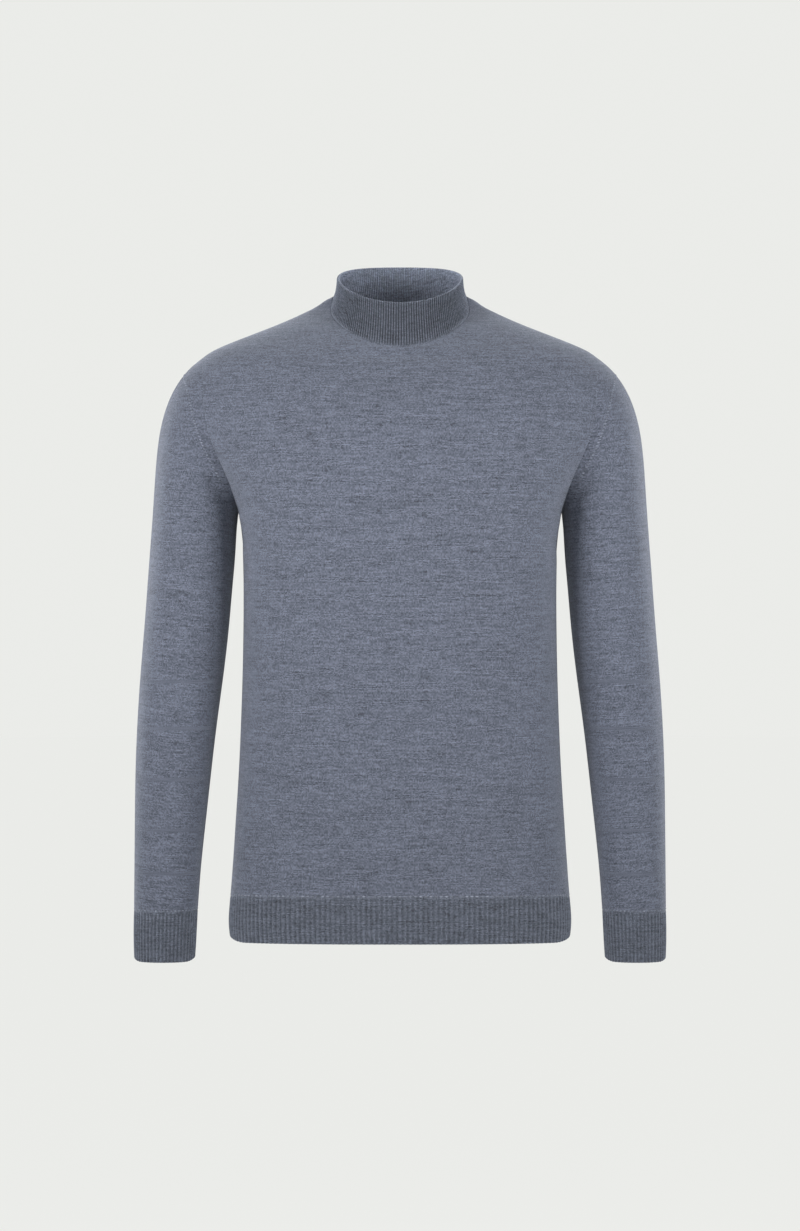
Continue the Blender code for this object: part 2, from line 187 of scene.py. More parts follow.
# Soft troughs (depth above 0) and swells (below 0) in a panel, on an oval patch turned by tilt
Fold = namedtuple("Fold", "x z depth length width tilt")
FRONT_FOLDS = rows_of(
    Fold,
    (-0.100, -0.232, 0.0022, 0.052, 0.020, 8),
    (0.104, -0.236, 0.0024, 0.050, 0.021, -10),
    (-0.150, -0.262, 0.0012, 0.040, 0.009, -38),
    (0.147, -0.270, 0.0014, 0.044, 0.010, 36),
    (0.000, -0.180, 0.0014, 0.050, 0.016, 90),
    (-0.012, -0.330, 0.0008, 0.090, 0.014, 82),
    (0.062, -0.520, 0.0009, 0.075, 0.016, 74),
    (-0.070, -0.540, 0.0008, 0.070, 0.017, 103),
    (0.010, -0.600, -0.0008, 0.120, 0.012, 2),
    (0.000, -0.0575, -0.0006, 0.046, 0.0035, 0),
    (0.000, -0.0660, 0.0009, 0.052, 0.0050, 0),
)
BACK_FOLDS = rows_of(
    Fold,
    (-0.085, -0.150, 0.0016, 0.060, 0.018, -24),
    (0.088, -0.158, 0.0015, 0.056, 0.017, 22),
    (0.000, -0.230, 0.0022, 0.120, 0.015, 90),
    (-0.060, -0.400, 0.0016, 0.075, 0.011, -12),
    (0.048, -0.428, 0.0017, 0.082, 0.012, 9),
    (-0.020, -0.470, -0.0014, 0.090, 0.014, 4),
    (0.118, -0.330, 0.0011, 0.060, 0.012, 58),
    (-0.120, -0.318, 0.0011, 0.055, 0.012, -60),
)


class Curve:
    """A cubic spline through one column of a table, held at its end values outside the table."""

    def __init__(self, at, value):
        self.at, self.value = np.array(at, float), np.array(value, float)
        step = np.diff(self.at)
        slope = np.diff(self.value) / step
        count = len(self.at)
        system, target = np.eye(count), np.zeros(count)
        for i in range(1, count - 1):
            system[i, i - 1:i + 2] = step[i - 1], 2 * (step[i - 1] + step[i]), step[i]
            target[i] = 6 * (slope[i] - slope[i - 1])
        self.bend = np.linalg.solve(system, target)

    @classmethod
    def through(cls, rows, column):
        return cls([row.z for row in rows], [getattr(row, column) for row in rows])

    def __call__(self, z):
        z = np.clip(z, self.at[0], self.at[-1])
        i = np.clip(np.searchsorted(self.at, z, side="right") - 1, 0, len(self.at) - 2)
        step = self.at[i + 1] - self.at[i]
        t = (z - self.at[i]) / step
        bend = (t ** 3 - t) * self.bend[i + 1] + ((1 - t) ** 3 - (1 - t)) * self.bend[i]
        return (1 - t) * self.value[i] + t * self.value[i + 1] + bend * step ** 2 / 6


section_front, section_back, section_ridge, section_roundness = (
    Curve.through(SECTIONS, column) for column in Section._fields[1:])
side_x = Curve.through(SIDE_SEAM, "x")
armhole_x = Curve.through(ARMHOLE, "x")
shoulder_x = Curve.through(SHOULDER_LINE, "x")


def signed_power(value, exponent):
    return np.sign(value) * np.abs(value) ** exponent


def section_depth(z, facing):
    """How far the section reaches from the ridge line, to the front or to the back."""
    front = section_front(z) + section_ridge(z)
    back = section_back(z) - section_ridge(z)
    return np.where(np.asarray(facing) == FRONT, front, back)


def armhole_depth(z, facing):
    """How far the armhole's edge is from the ridge line at height z."""
    share = min(abs(z - ARMHOLE_MIDDLE) / ARMHOLE_REACH, 1.0)
    across = (1 - share ** ARMHOLE_ROUNDNESS) ** (1 / ARMHOLE_ROUNDNESS)
    return across * (ARMHOLE_FRONT if facing == FRONT else ARMHOLE_BACK)


def edge_x(z):
    """Half width of the panels at height z: side seam, armhole or shoulder line."""
    if z <= UNDERARM:
        return float(side_x(z))
    if z <= SHOULDER_TIP:
        return float(armhole_x(z))
    return float(shoulder_x(z))


def half_width(z, facing):
    """Half width of the whole section, which runs on past an armhole into the sleeve."""
    if not UNDERARM < z < SHOULDER_TIP:
        return edge_x(z)
    n = section_roundness(z)
    share = armhole_depth(z, facing) / section_depth(z, facing)
    return edge_x(z) / (1 - share ** n) ** (1 / n)


def trunk_points(turns, z, facing):
    """Points of a level section. Turn 0 is the centre line, and a quarter turn is the side."""
    n = section_roundness(z)
    share = np.abs(np.cos(turns)) ** (2 / n)
    x = half_width(z, facing) * signed_power(np.sin(turns), 2 / n)
    y = section_ridge(z) + facing * section_depth(z, facing) * share
    fade = min(max((HEM_LIFT_FADES - z) / (HEM_LIFT_FADES - HEM_SEAM), 0.0), 1.0)
    return np.stack([x, y, z + HEM_LIFT * share * fade], axis=-1)


def lengths_along(points):
    """Distance from the first point to each point of a line."""
    steps = np.linalg.norm(np.diff(points, axis=0), axis=1)
    return np.append(0, np.cumsum(steps))


def trunk_row(z, facing, shares):
    """The left half of a level row of the panel, at these shares of its length."""
    n = section_roundness(z)
    last_turn = math.asin(min(edge_x(z) / half_width(z, facing), 1.0) ** (n / 2))
    turns = last_turn * (1 - (1 - np.linspace(0, 1, 400)) ** 1.6)
    length = lengths_along(trunk_points(turns, z, facing))
    return trunk_points(np.interp(shares * length[-1], length, turns), z, facing)


def height_on_shoulders(x, y):
    """Height of the yoke over points of the plan."""
    low = np.full(np.shape(x), SHOULDER_TIP)
    high = np.full(np.shape(x), SHOULDER_LINE[-1].z)
    for _ in range(40):
        z = (low + high) / 2
        ridge = section_ridge(z)
        depth = section_depth(z, np.where(y < ridge, FRONT, BACK))
        n = section_roundness(z)
        outside = (np.abs(x) / shoulder_x(z)) ** n + (np.abs(y - ridge) / depth) ** n > 1
        high = np.where(outside, z, high)
        low = np.where(outside, low, z)
    return low


def neckline_points(turns):
    """Points of the neckline. Turn 0 is the centre front, and half a turn the centre back."""
    x = NECK_HALF_WIDTH * np.sin(turns)
    y = NECK_CENTRE_Y - NECK_HALF_DEPTH * np.cos(turns)
    return np.stack([x, y, height_on_shoulders(x, y)], axis=-1)


def rim_points(turns):
    """Points of the collar's upper edge."""
    return np.stack([
        RIM_HALF_WIDTH * np.sin(turns),
        RIM_CENTRE_Y - RIM_HALF_DEPTH * np.cos(turns),
        RIM_HEIGHT - RIM_TILT * np.cos(turns) - RIM_SADDLE * np.cos(2 * turns),
    ], axis=-1)


def graded(length, step, near_start=(), near_end=()):
    """Shares of a length: even steps, with given closer distances at its start and its end."""
    first = near_start[-1] if near_start else 0.0
    last = length - (near_end[-1] if near_end else 0.0)
    even = np.linspace(first, last, max(2, round((last - first) / step) + 1))
    start = np.array(near_start[:-1])
    end = length - np.array(near_end[:-1])[::-1]
    return np.concatenate([start, even, end]) / length


SEAM_STEPS = (0.0, 0.0006, 0.0013, 0.0022, 0.0034)
FREE_EDGE_STEPS = (0.0, 0.0001, 0.0003, 0.0006, 0.0011, 0.0020)
# Lengths of the cloth, by which the rows and columns are spaced
PANEL_QUARTER = 0.107
ARMHOLE_LENGTH = 0.19
YOKE_LENGTH = 0.085
SLEEVE_LENGTH = 0.60
CUFF_LENGTH = 0.053
COLLAR_LENGTH = 0.055
RIB_GRID = 0.004
RIB_COLUMNS = 8             # columns of the grid in each rib


def panel_columns(step):
    """Shares of half a panel's rows: the first half ends on the neckline, the rest beside it."""
    inner = graded(PANEL_QUARTER, step) / 2
    outer = 0.5 + graded(PANEL_QUARTER, step, near_end=SEAM_STEPS) / 2
    return np.concatenate([inner, outer[1:]])


def yoke_edge(facing, shares):
    """The left half of a panel's upper edge: neckline, then shoulder seam out to the tip."""
    centre_turn = 0 if facing == FRONT else math.pi
    on_neck = shares <= 0.5
    neck = neckline_points(centre_turn + (NECK_SEAM_TURN - centre_turn) * shares[on_neck] * 2)
    tip = trunk_points(np.array([math.pi / 2]), SHOULDER_TIP, facing)[0]
    seam = neck[-1] + (tip - neck[-1]) * (shares[~on_neck] * 2 - 1)[:, None]
    seam[:-1, 2] = height_on_shoulders(seam[:-1, 0], seam[:-1, 1])
    return np.concatenate([neck, seam])


def armhole_levels(shares):
    """Heights beside the armhole, turned round its edge, lowest first."""
    round_it = signed_power(np.cos(math.pi * (1 - shares)), 2 / ARMHOLE_ROUNDNESS)
    return ARMHOLE_MIDDLE + ARMHOLE_REACH * round_it


def mirrored(half):
    """A whole row, or a grid of rows, from its left half, which starts on the centre line."""
    return np.concatenate([half[..., :0:-1, :] * (-1, 1, 1), half], axis=-2)


def panel_form(facing, step):
    """Points of the front or back form and their places in the knitting, as (across, up)."""
    shares = panel_columns(step)
    body = HEM_SEAM + (UNDERARM - HEM_SEAM) * graded(UNDERARM - HEM_SEAM, step, SEAM_STEPS)
    levels = np.concatenate([body[:-1], armhole_levels(graded(ARMHOLE_LENGTH, step))])
    rows = [trunk_row(z, facing, shares) for z in levels]
    across = [lengths_along(row) for row in rows]
    lower, upper = rows[-1], yoke_edge(facing, shares)
    for share in graded(YOKE_LENGTH, step, near_end=SEAM_STEPS)[1:-1]:
        row = lower + (upper - lower) * share
        row[:-1, 2] = height_on_shoulders(row[:-1, 0], row[:-1, 1])
        rows.append(row)
        across.append(np.interp(row[:, 0], lower[:, 0], lengths_along(lower)))
    rows.append(upper)
    across.append(np.interp(upper[:, 0], lower[:, 0], lengths_along(lower)))
    heights = np.linspace(HEM_SEAM, SHOULDER_LINE[-1].z, 300)
    reach = section_front(heights) if facing == FRONT else section_back(heights)
    up = lengths_along(np.stack([heights, reach], axis=1))
    half = np.array(rows)
    place = np.stack([np.array(across), np.interp(half[..., 2], heights, up)], axis=-1)
    left_to_right = np.concatenate([place[:, :0:-1] * (-1, 1), place], axis=1)
    return mirrored(half), left_to_right


def between(outer, inner, along):
    """A place across a ring, from inner where along is -1 to outer where it is 1."""
    return (outer + inner) / 2 + (outer - inner) / 2 * along


def ring_rows(rings, shares, columns):
    """Points round the left sleeve at these shares of its outer length."""
    outer = lengths_along(np.array([(ring.outer_x, ring.outer_z) for ring in rings]))
    at = {name: Curve(outer, [getattr(ring, name) for ring in rings])(shares * outer[-1])[:, None]
          for name in Ring._fields}
    turns = np.linspace(0, 2 * math.pi, columns + 1)[None, :-1]
    along = signed_power(np.cos(turns), 2 / ARMHOLE_ROUNDNESS)
    over = signed_power(np.sin(turns), 2 / ARMHOLE_ROUNDNESS)
    keep = np.clip(at["keep"], 0, 1)
    z = between(at["outer_z"], at["inner_z"], along)
    armhole_z = between(SHOULDER_TIP, UNDERARM, along)
    chord = between(SLEEVE_RINGS[0].outer_x, SLEEVE_RINGS[0].inner_x, along)
    x = between(at["outer_x"], at["inner_x"], along) + keep * (armhole_x(armhole_z) - chord)
    middle = keep * section_ridge(armhole_z) + (1 - keep) * at["mid_y"]
    y = middle - over * np.where(over > 0, at["front"], at["back"])
    return np.stack([x, y, z], axis=-1)


def even_rings(rows, columns):
    """The same rings with points evenly spaced round each."""
    out = []
    for row in rows:
        closed = np.concatenate([row, row[:1]])
        length = lengths_along(closed)
        at = np.linspace(0, length[-1], columns + 1)[:-1]
        out.append(np.stack([np.interp(at, length, closed[:, k]) for k in range(3)], axis=1))
    return np.array(out)


def closed_up(grid):
    """The grid with its first column again at the end."""
    return np.concatenate([grid, grid[:, :1]], axis=1)


def way_out(grid, closed):
    """Unit normals at a grid's points. Points in the same place share one."""
    full = closed_up(grid) if closed else grid
    a, b, c, d = full[:-1, :-1], full[:-1, 1:], full[1:, 1:], full[1:, :-1]
    flat = np.cross(c - a, d - b)
    total = np.zeros_like(full)
    for rows in (slice(None, -1), slice(1, None)):
        for columns in (slice(None, -1), slice(1, None)):
            total[rows, columns] += flat
    if closed:
        total[:, 0] += total[:, -1]
        total = total[:, :-1]
    keys = np.round(grid.reshape(-1, 3), 6)
    same = np.unique(keys, axis=0, return_inverse=True)[1].ravel()
    shared = np.zeros_like(keys)
    np.add.at(shared, same, total.reshape(-1, 3))
    shared = shared[same]
    return (shared / np.linalg.norm(shared, axis=1, keepdims=True)).reshape(grid.shape)


def distance_down(grid):
    """Distance from the first row, along each column."""
    steps = np.linalg.norm(np.diff(grid, axis=0), axis=2)
    return np.concatenate([np.zeros_like(steps[:1]), np.cumsum(steps, axis=0)])


def distance_up(grid):
    """Distance from the last row, along each column."""
    return distance_down(grid[::-1])[::-1]


def distance_across(grid):
    """Distance from the first column, along each row."""
    steps = np.linalg.norm(np.diff(grid, axis=1), axis=2)
    return np.concatenate([np.zeros_like(steps[:, :1]), np.cumsum(steps, axis=1)], axis=1)


# How far an edge turns in at a seam, and how widely
SEAM = (0.0001, 0.0010)             # jersey at its side and armhole seams
RIB_SEAM = (0.0003, 0.0014)         # jersey at the ribs and shoulders
RIB_ROLL = (0.0003, 0.0015)         # ribs at their own seam
RIB_FADE = 0.004            # the ribs rise over this length from their seam
LIP_REACH = 0.0012


def seam_roll(distance, depth, width):
    """How far an edge turns in beside a seam."""
    return depth * np.exp(-(distance / width) ** 2)


def round_edge(distance, wall):
    """(how far the face turns in, what is left of the wall) beside a free edge."""
    radius = wall / 2
    near = np.clip(distance, 0, radius)
    half = np.sqrt(np.maximum(radius ** 2 - (radius - near) ** 2, (0.02 * radius) ** 2))
    return radius - half, 2 * half


def rib_profile(phase):
    """Height of 1x1 rib across the fabric, from 0 in a groove to 1 on a ridge."""
    return 0.5 + 0.5 * np.cos(2 * math.pi * phase)


def smooth_step(value):
    value = np.clip(value, 0, 1)
    return value * value * (3 - 2 * value)


def folds_depth(grid, folds):
    """How far the folds of the table press the cloth in."""
    depth = np.zeros(grid.shape[:2])
    for fold in folds:
        turn = math.radians(fold.tilt)
        x, z = grid[..., 0] - fold.x, grid[..., 2] - fold.z
        along = (math.cos(turn) * x + math.sin(turn) * z) / fold.length
        over = (math.cos(turn) * z - math.sin(turn) * x) / fold.width
        depth += fold.depth * np.exp(-along ** 2 - over ** 2)
    return depth


class Wall:
    """A knitted wall: its face on a grid, its places in the knitting, and its thickness."""

    def __init__(self, form, closed, thickness, place=None):
        self.form, self.closed, self.place = form, closed, place
        self.out = way_out(form, closed)
        self.inset = np.zeros(form.shape[:2])
        self.thickness = np.full(form.shape[:2], thickness)
        # painted shade of each point, darker in the ribs' furrows; below zero it is painted light
        self.furrow_painted_shade = np.zeros(form.shape[:2])
        # painted shade on the wall's reverse; the collar sets it below zero, which paints its
        # inside lighter
        self.reverse_painted_light = 0.0

    def mirrored(self):
        """The same wall on the wearer's other side."""
        other = object.__new__(Wall)
        other.closed, other.reverse_painted_light = self.closed, self.reverse_painted_light
        for name in ("form", "out"):
            setattr(other, name, getattr(self, name)[:, ::-1] * (-1, 1, 1))
        for name in ("place", "inset", "thickness", "furrow_painted_shade"):
            setattr(other, name, getattr(self, name)[:, ::-1])
        return other

    def face(self):
        return self.form - self.out * self.inset[..., None]

    def make(self, name, material, slot, cad_node, start):
        """Make the piece's object in place of its solid. Start is its place in the yarn."""
        face = self.face()
        back = face - self.out * self.thickness[..., None]
        rows, columns = face.shape[:2]
        count = rows * columns
        index = np.arange(count).reshape(rows, columns)
        corner = np.arange(rows * self.place.shape[1]).reshape(rows, -1)
        if self.closed:
            index = closed_up(index)

        def quads(a):
            corners = [a[:-1, :-1], a[:-1, 1:], a[1:, 1:], a[1:, :-1]]
            return np.stack(corners, axis=-1).reshape(-1, 4)

        skin, places = quads(index), quads(corner)
        faces = [skin, skin[:, ::-1] + count]
        loops = [places, places[:, ::-1]]

        def rim(a, b, at_a, at_b):
            faces.append(np.stack([b, a, a + count, b + count], axis=-1))
            loops.append(np.stack([at_b, at_a, at_a, at_b], axis=-1))

        rim(index[0, :-1], index[0, 1:], corner[0, :-1], corner[0, 1:])
        rim(index[-1, 1:], index[-1, :-1], corner[-1, 1:], corner[-1, :-1])
        if not self.closed:
            rim(index[1:, 0], index[:-1, 0], corner[1:, 0], corner[:-1, 0])
            rim(index[:-1, -1], index[1:, -1], corner[:-1, -1], corner[1:, -1])
        faces, loops = np.concatenate(faces), np.concatenate(loops)
        mesh = bpy.data.meshes.new(name)
        points = np.concatenate([face.reshape(-1, 3), back.reshape(-1, 3)])
        mesh.from_pydata(points.tolist(), [], faces.tolist())
        places = self.place.reshape(-1, 2) + start
        mesh.uv_layers.new(name="knitting").data.foreach_set("uv", places[loops.ravel()].ravel())
        # painted shade of the face and the reverse, handed to the material; below zero it is
        # painted light
        shade = np.concatenate([self.furrow_painted_shade.ravel(), self.furrow_painted_shade.ravel() + self.reverse_painted_light])
        mesh.attributes.new("furrow_painted_shade", "FLOAT", "POINT").data.foreach_set("value", shade)
        merged = bmesh.new()
        merged.from_mesh(mesh)
        bmesh.ops.remove_doubles(merged, verts=merged.verts, dist=1e-6)
        merged.to_mesh(mesh)
        merged.free()
        mesh.shade_smooth()
        mesh.materials.append(material)
        return add_piece(name, mesh, cad_node)


def add_piece(name, mesh, cad_node=None):
    """Link a finished mesh as a piece that rides on the frame."""
    piece = bpy.data.objects.new(name, mesh)
    bpy.context.scene.collection.objects.link(piece)
    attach(piece, "root")
    if cad_node:
        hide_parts(cad_node)
    return piece


LOOP_PLACES = (0.0131, 0.0171)      # from loop to loop in the knitting, which gives each its tone


def add_loops(name, centres, along, out, size, material):
    """Many small yarn loops in one mesh: flattened ovals laid along the way given at each."""
    segments, rings = 8, 5
    around = np.linspace(0, 2 * math.pi, segments + 1)[:-1]
    down = np.linspace(0, math.pi, rings + 1)[1:-1]
    ball = [(0, 0, 1)]
    ball += [(math.sin(a) * math.cos(b), math.sin(a) * math.sin(b), math.cos(a))
             for a in down for b in around]
    ball += [(0, 0, -1)]
    ball = np.array(ball) * size
    faces = [(0, 1 + j, 1 + (j + 1) % segments) for j in range(segments)]
    for i in range(rings - 2):
        for j in range(segments):
            k = (j + 1) % segments
            a, b = 1 + i * segments, 1 + (i + 1) * segments
            faces.append((a + j, b + j, b + k, a + k))
    last = len(ball) - 1
    a = last - segments
    faces += [(last, a + (j + 1) % segments, a + j) for j in range(segments)]
    along = along / np.linalg.norm(along, axis=1, keepdims=True)
    out = out - along * (out * along).sum(axis=1, keepdims=True)
    out = out / np.linalg.norm(out, axis=1, keepdims=True)
    side = np.cross(out, along)
    axes = np.stack([along, side, out], axis=1)
    points = (ball @ axes).reshape(len(centres), -1, 3) + centres[:, None]
    every = [tuple(v + i * len(ball) for v in face) for i in range(len(centres)) for face in faces]
    mesh = bpy.data.meshes.new(name)
    mesh.from_pydata(points.reshape(-1, 3).tolist(), [], every)
    each = np.arange(len(centres))[:, None] * LOOP_PLACES
    places = np.repeat(each, sum(len(face) for face in faces), axis=0)
    mesh.uv_layers.new(name="knitting").data.foreach_set("uv", places.ravel())
    mesh.shade_smooth()
    mesh.materials.append(material)
    add_piece(name, mesh)


class Value:
    """A number inside a shader. Sums of these are Math nodes."""

    def __init__(self, shader, socket):
        self.shader, self.socket = shader, socket

    def math(self, operation, *others):
        made = self.shader.node("ShaderNodeMath", {"operation": operation},
                                dict(enumerate((self, *others))))
        return Value(self.shader, made.outputs[0])

    def __add__(self, other):
        return self.math("ADD", other)

    __radd__ = __add__

    def __mul__(self, other):
        return self.math("MULTIPLY", other)

    def __sub__(self, other):
        return self.math("SUBTRACT", other)

    def __rsub__(self, other):
        return (self * -1.0) + other

    def __truediv__(self, other):
        return self.math("DIVIDE", other)

    def __pow__(self, other):
        return self.math("POWER", other)


class Shader:
    """The node tree of a material or of the world."""

    def __init__(self, owner):
        owner.use_nodes = True
        self.owner, self.tree = owner, owner.node_tree
        self.surface = self.tree.nodes.get("Principled BSDF") or self.tree.nodes["Background"]

    def node(self, kind, settings, sockets):
        made = self.tree.nodes.new(kind)
        for key, setting in settings.items():
            setattr(made, key, setting)
        return self.fill(made, sockets)

    def fill(self, node, sockets):
        """Link each named socket to a value, or set it to a constant."""
        for key, value in sockets.items():
            if isinstance(value, Value):
                value = value.socket
            if isinstance(value, bpy.types.NodeSocket):
                self.tree.links.new(value, node.inputs[key])
            else:
                node.inputs[key].default_value = value
        return node

    def pair(self, x, y):
        made = self.node("ShaderNodeCombineXYZ", {}, {"X": x, "Y": y})
        return made.outputs["Vector"]


def knit_shader(name, colour, knit):
    """Stockinette in melange yarn: two leaning legs a stitch, each leg its own tone, and
    longer streaks along the courses."""
    shader = Shader(bpy.data.materials.new(name))
    uv = shader.node("ShaderNodeUVMap", {"uv_map": "knitting"}, {})
    place = shader.node("ShaderNodeSeparateXYZ", {}, {"Vector": uv.outputs["UV"]})
    across, up = (Value(shader, place.outputs[axis]) for axis in ("X", "Y"))
    wale = across / knit.wale
    lean = (wale.math("FRACT") - 0.5).math("ABSOLUTE")
    course = up / knit.course + lean * knit.lean
    leg, row = (wale * 2.0).math("FLOOR"), course.math("FLOOR")
    speckle = shader.node("ShaderNodeTexWhiteNoise", {"noise_dimensions": "2D"},
                          {"Vector": shader.pair(leg, row)})
    tone = 1.0 + (Value(shader, speckle.outputs["Value"]) - 0.5) * knit.speckle
    for length, height, contrast, step in (
        (knit.streak_length, None, knit.streak, 5.17),
        (knit.streak_length * 4.0, None, knit.long_streak, 3.31),
        (0.070, 0.030, knit.cloud, 0.0),
    ):
        over = row * step if height is None else up / height
        noise = shader.node("ShaderNodeTexNoise", {"noise_dimensions": "2D"},
                            {"Vector": shader.pair(across / length, over), "Scale": 1.0,
                             "Detail": 1.0, "Roughness": 0.5})
        tone = tone + (Value(shader, noise.outputs["Fac"]) - 0.5) * contrast
    # painted shade from the mesh darkens the yarn's tone, and painted light below zero lightens it
    furrow_painted_shade = Value(shader, shader.node("ShaderNodeAttribute", {"attribute_name": "furrow_painted_shade"},
                                       {}).outputs["Fac"])
    tone = tone * (1.0 - furrow_painted_shade)
    base = shader.node("ShaderNodeVectorMath", {"operation": "SCALE"},
                       {0: colour[:3], "Scale": tone})
    leg_round = 1.0 - ((wale * 2.0).math("FRACT") - 0.5).math("ABSOLUTE") * 2.0
    row_round = 1.0 - (course.math("FRACT") - 0.5).math("ABSOLUTE") * 2.0
    height = leg_round ** 0.5 * row_round ** 0.4
    bump = shader.node("ShaderNodeBump", {},
                       {"Height": height, "Strength": knit.bump, "Distance": 0.0006})
    shader.fill(shader.surface, {
        "Base Color": base.outputs["Vector"], "Normal": bump.outputs["Normal"],
        "Roughness": knit.roughness, "Specular IOR Level": 0.25, "Sheen Weight": knit.sheen,
        "Sheen Roughness": 0.45, "Sheen Tint": (0.80, 0.86, 1.0, 1.0)})
    return shader.owner


def ease_armhole(form, edge, distance):
    """Ease the crease between sleeve and trunk, by the depth of the seam point beside each."""
    depth = edge[..., 1] - section_ridge(edge[..., 2])
    form[..., 1] += ARMHOLE_EASE * depth / ARMHOLE_FRONT * np.exp(-distance / ARMHOLE_EASE_REACH)


def panel_wall(facing, trunk, knit):
    """The front or the back, with its edges turned in beside the seams and its soft folds."""
    form, place = panel_form(facing, trunk.stitch_grid)
    if facing == BACK:
        form, place = form[:, ::-1], place[:, ::-1]
    sides = np.minimum(distance_across(form), distance_across(form[:, ::-1])[:, ::-1])
    ease_armhole(form, form[:, -1:].copy(), sides)
    wall = Wall(form, False, knit.jersey_wall, place)
    above, below = distance_down(form), distance_up(form)
    wall.inset += seam_roll(sides, *SEAM)
    wall.inset += seam_roll(np.minimum(above, below), *RIB_SEAM)
    wall.inset += folds_depth(form, FRONT_FOLDS if facing == FRONT else BACK_FOLDS)
    return wall


def hem_wall(facing, trunk, knit):
    """Half of the hem rib, from its free lower edge up to the hem seam."""
    half_ribs = trunk.hem_ribs / 2
    shares = np.linspace(0, 1, int(half_ribs * RIB_COLUMNS) + 1)
    height = HEM_SEAM - HEM_BOTTOM
    levels = HEM_BOTTOM + height * graded(height, RIB_GRID, FREE_EDGE_STEPS, SEAM_STEPS)
    form = mirrored(np.array([trunk_row(z, facing, shares) for z in levels]))
    half = np.abs(form[..., 0]).max(axis=1, keepdims=True)
    round_corners(form, distance_down(form), 0.0, half, HEM_CORNER, HEM_CORNER / 2)
    phase = np.concatenate([-shares[:0:-1], shares]) * half_ribs
    if facing == BACK:
        form, phase = form[:, ::-1], phase[::-1]
    wall = Wall(form, False, knit.rib_wall)
    set_ribs(wall, np.tile(phase, (len(levels), 1)), knit, trunk.rib_painted_shade,
             from_seam=distance_up(form), from_edge=distance_down(form))
    return wall


def round_corners(form, from_edge, middle, half, reach, lift):
    """Lift a free edge towards its two sides, which rounds its corners as seen from the front."""
    near = CORNER_FULLNESS * np.clip(1 - (half - np.abs(form[..., 0] - middle)) / reach, 0, 1)
    low = np.clip(1 - from_edge / (4 * lift), 0, 1)
    form[..., 2] += lift * (1 - np.sqrt(1 - near ** 2)) * low


def set_ribs(wall, phase, knit, shade, from_seam, from_edge):
    """Raise 1x1 ribs on a wall, flat at its seam and rounded at its free edge, with painted shade
    in their furrows.
    """
    strength = smooth_step(from_seam / RIB_FADE)
    ribs = rib_profile(phase[:, :wall.form.shape[1]])
    # painted shade in the furrows between the ribs, as strong as the ribs are tall
    wall.furrow_painted_shade = (1 - ribs) * strength * shade
    wall.inset += knit.rib_depth * (1 - ribs) * strength
    wall.inset += seam_roll(from_seam, *RIB_ROLL)
    turned, left = round_edge(from_edge, wall.thickness[0, 0])
    wall.inset += turned
    wall.thickness = left
    up = closed_up(from_seam) if wall.closed else from_seam
    wall.place = np.stack([(2 * phase + 0.5) * knit.wale, -up], axis=-1)


HANGING = -0.300            # below this the sleeve is a plain tapering tube


def wales_round(points):
    """Distance round the left sleeve from its outer line, the same way as its wales."""
    rings = [ring for ring in SLEEVE_RINGS if ring.inner_z < HANGING][::-1]
    ovals = [((ring.outer_x + ring.inner_x) / 2, (ring.outer_x - ring.inner_x) / 2,
              (ring.front + ring.back) / 2, ring.mid_y) for ring in rings]
    centre, width, depth, middle = (
        Curve([ring.outer_z for ring in rings], column)(points[..., 2]) for column in zip(*ovals))
    turn = np.arctan2((middle - points[..., 1]) / depth, (points[..., 0] - centre) / width)
    return np.unwrap(turn, axis=1) * np.sqrt((width ** 2 + depth ** 2) / 2)


def sleeve_wall(sleeve, knit):
    """The left sleeve, from its armhole seam down to its cuff seam."""
    shares = graded(SLEEVE_LENGTH, sleeve.stitch_grid, SEAM_STEPS, SEAM_STEPS)
    form = np.roll(ring_rows(SLEEVE_RINGS, shares, sleeve.columns), sleeve.columns // 2, axis=1)
    ease_armhole(form, form[:1].copy(), distance_down(form))
    full = closed_up(form)
    place = np.stack([wales_round(full), full @ SLEEVE_WAY], axis=-1)
    wall = Wall(form, True, knit.jersey_wall, place)
    wall.inset += seam_roll(distance_down(form), *SEAM)
    wall.inset += seam_roll(distance_up(form), *RIB_SEAM)
    return wall


def cuff_wall(sleeve, knit):
    """The left cuff, from its seam down to its free edge."""
    columns = sleeve.cuff_ribs * RIB_COLUMNS
    shares = graded(CUFF_LENGTH, RIB_GRID, SEAM_STEPS, FREE_EDGE_STEPS)
    form = even_rings(ring_rows(CUFF_RINGS, shares, 400), columns)
    outer, inner = (edge(form[..., 0], axis=1, keepdims=True) for edge in (np.max, np.min))
    round_corners(form, distance_up(form), (outer + inner) / 2,
                  (outer - inner) / 2, CUFF_CORNER, CUFF_CORNER / 2)
    wall = Wall(form, True, knit.rib_wall)
    phase = np.tile(np.arange(columns + 1) / RIB_COLUMNS, (len(shares), 1))
    set_ribs(wall, phase, knit, sleeve.cuff_rib_painted_shade,
             from_seam=distance_down(form), from_edge=distance_up(form))
    return wall


def collar_form(turns, shares):
    """Points of the collar, from the neckline up to its rim."""
    seam, rim = neckline_points(turns), rim_points(turns)
    rows = []
    for share in shares:
        row = seam + (rim - seam) * (1 - (1 - share) ** COLLAR_FLARE)
        row[:, 2] = seam[:, 2] + (rim[:, 2] - seam[:, 2]) * share
        rows.append(row)
    return np.array(rows)


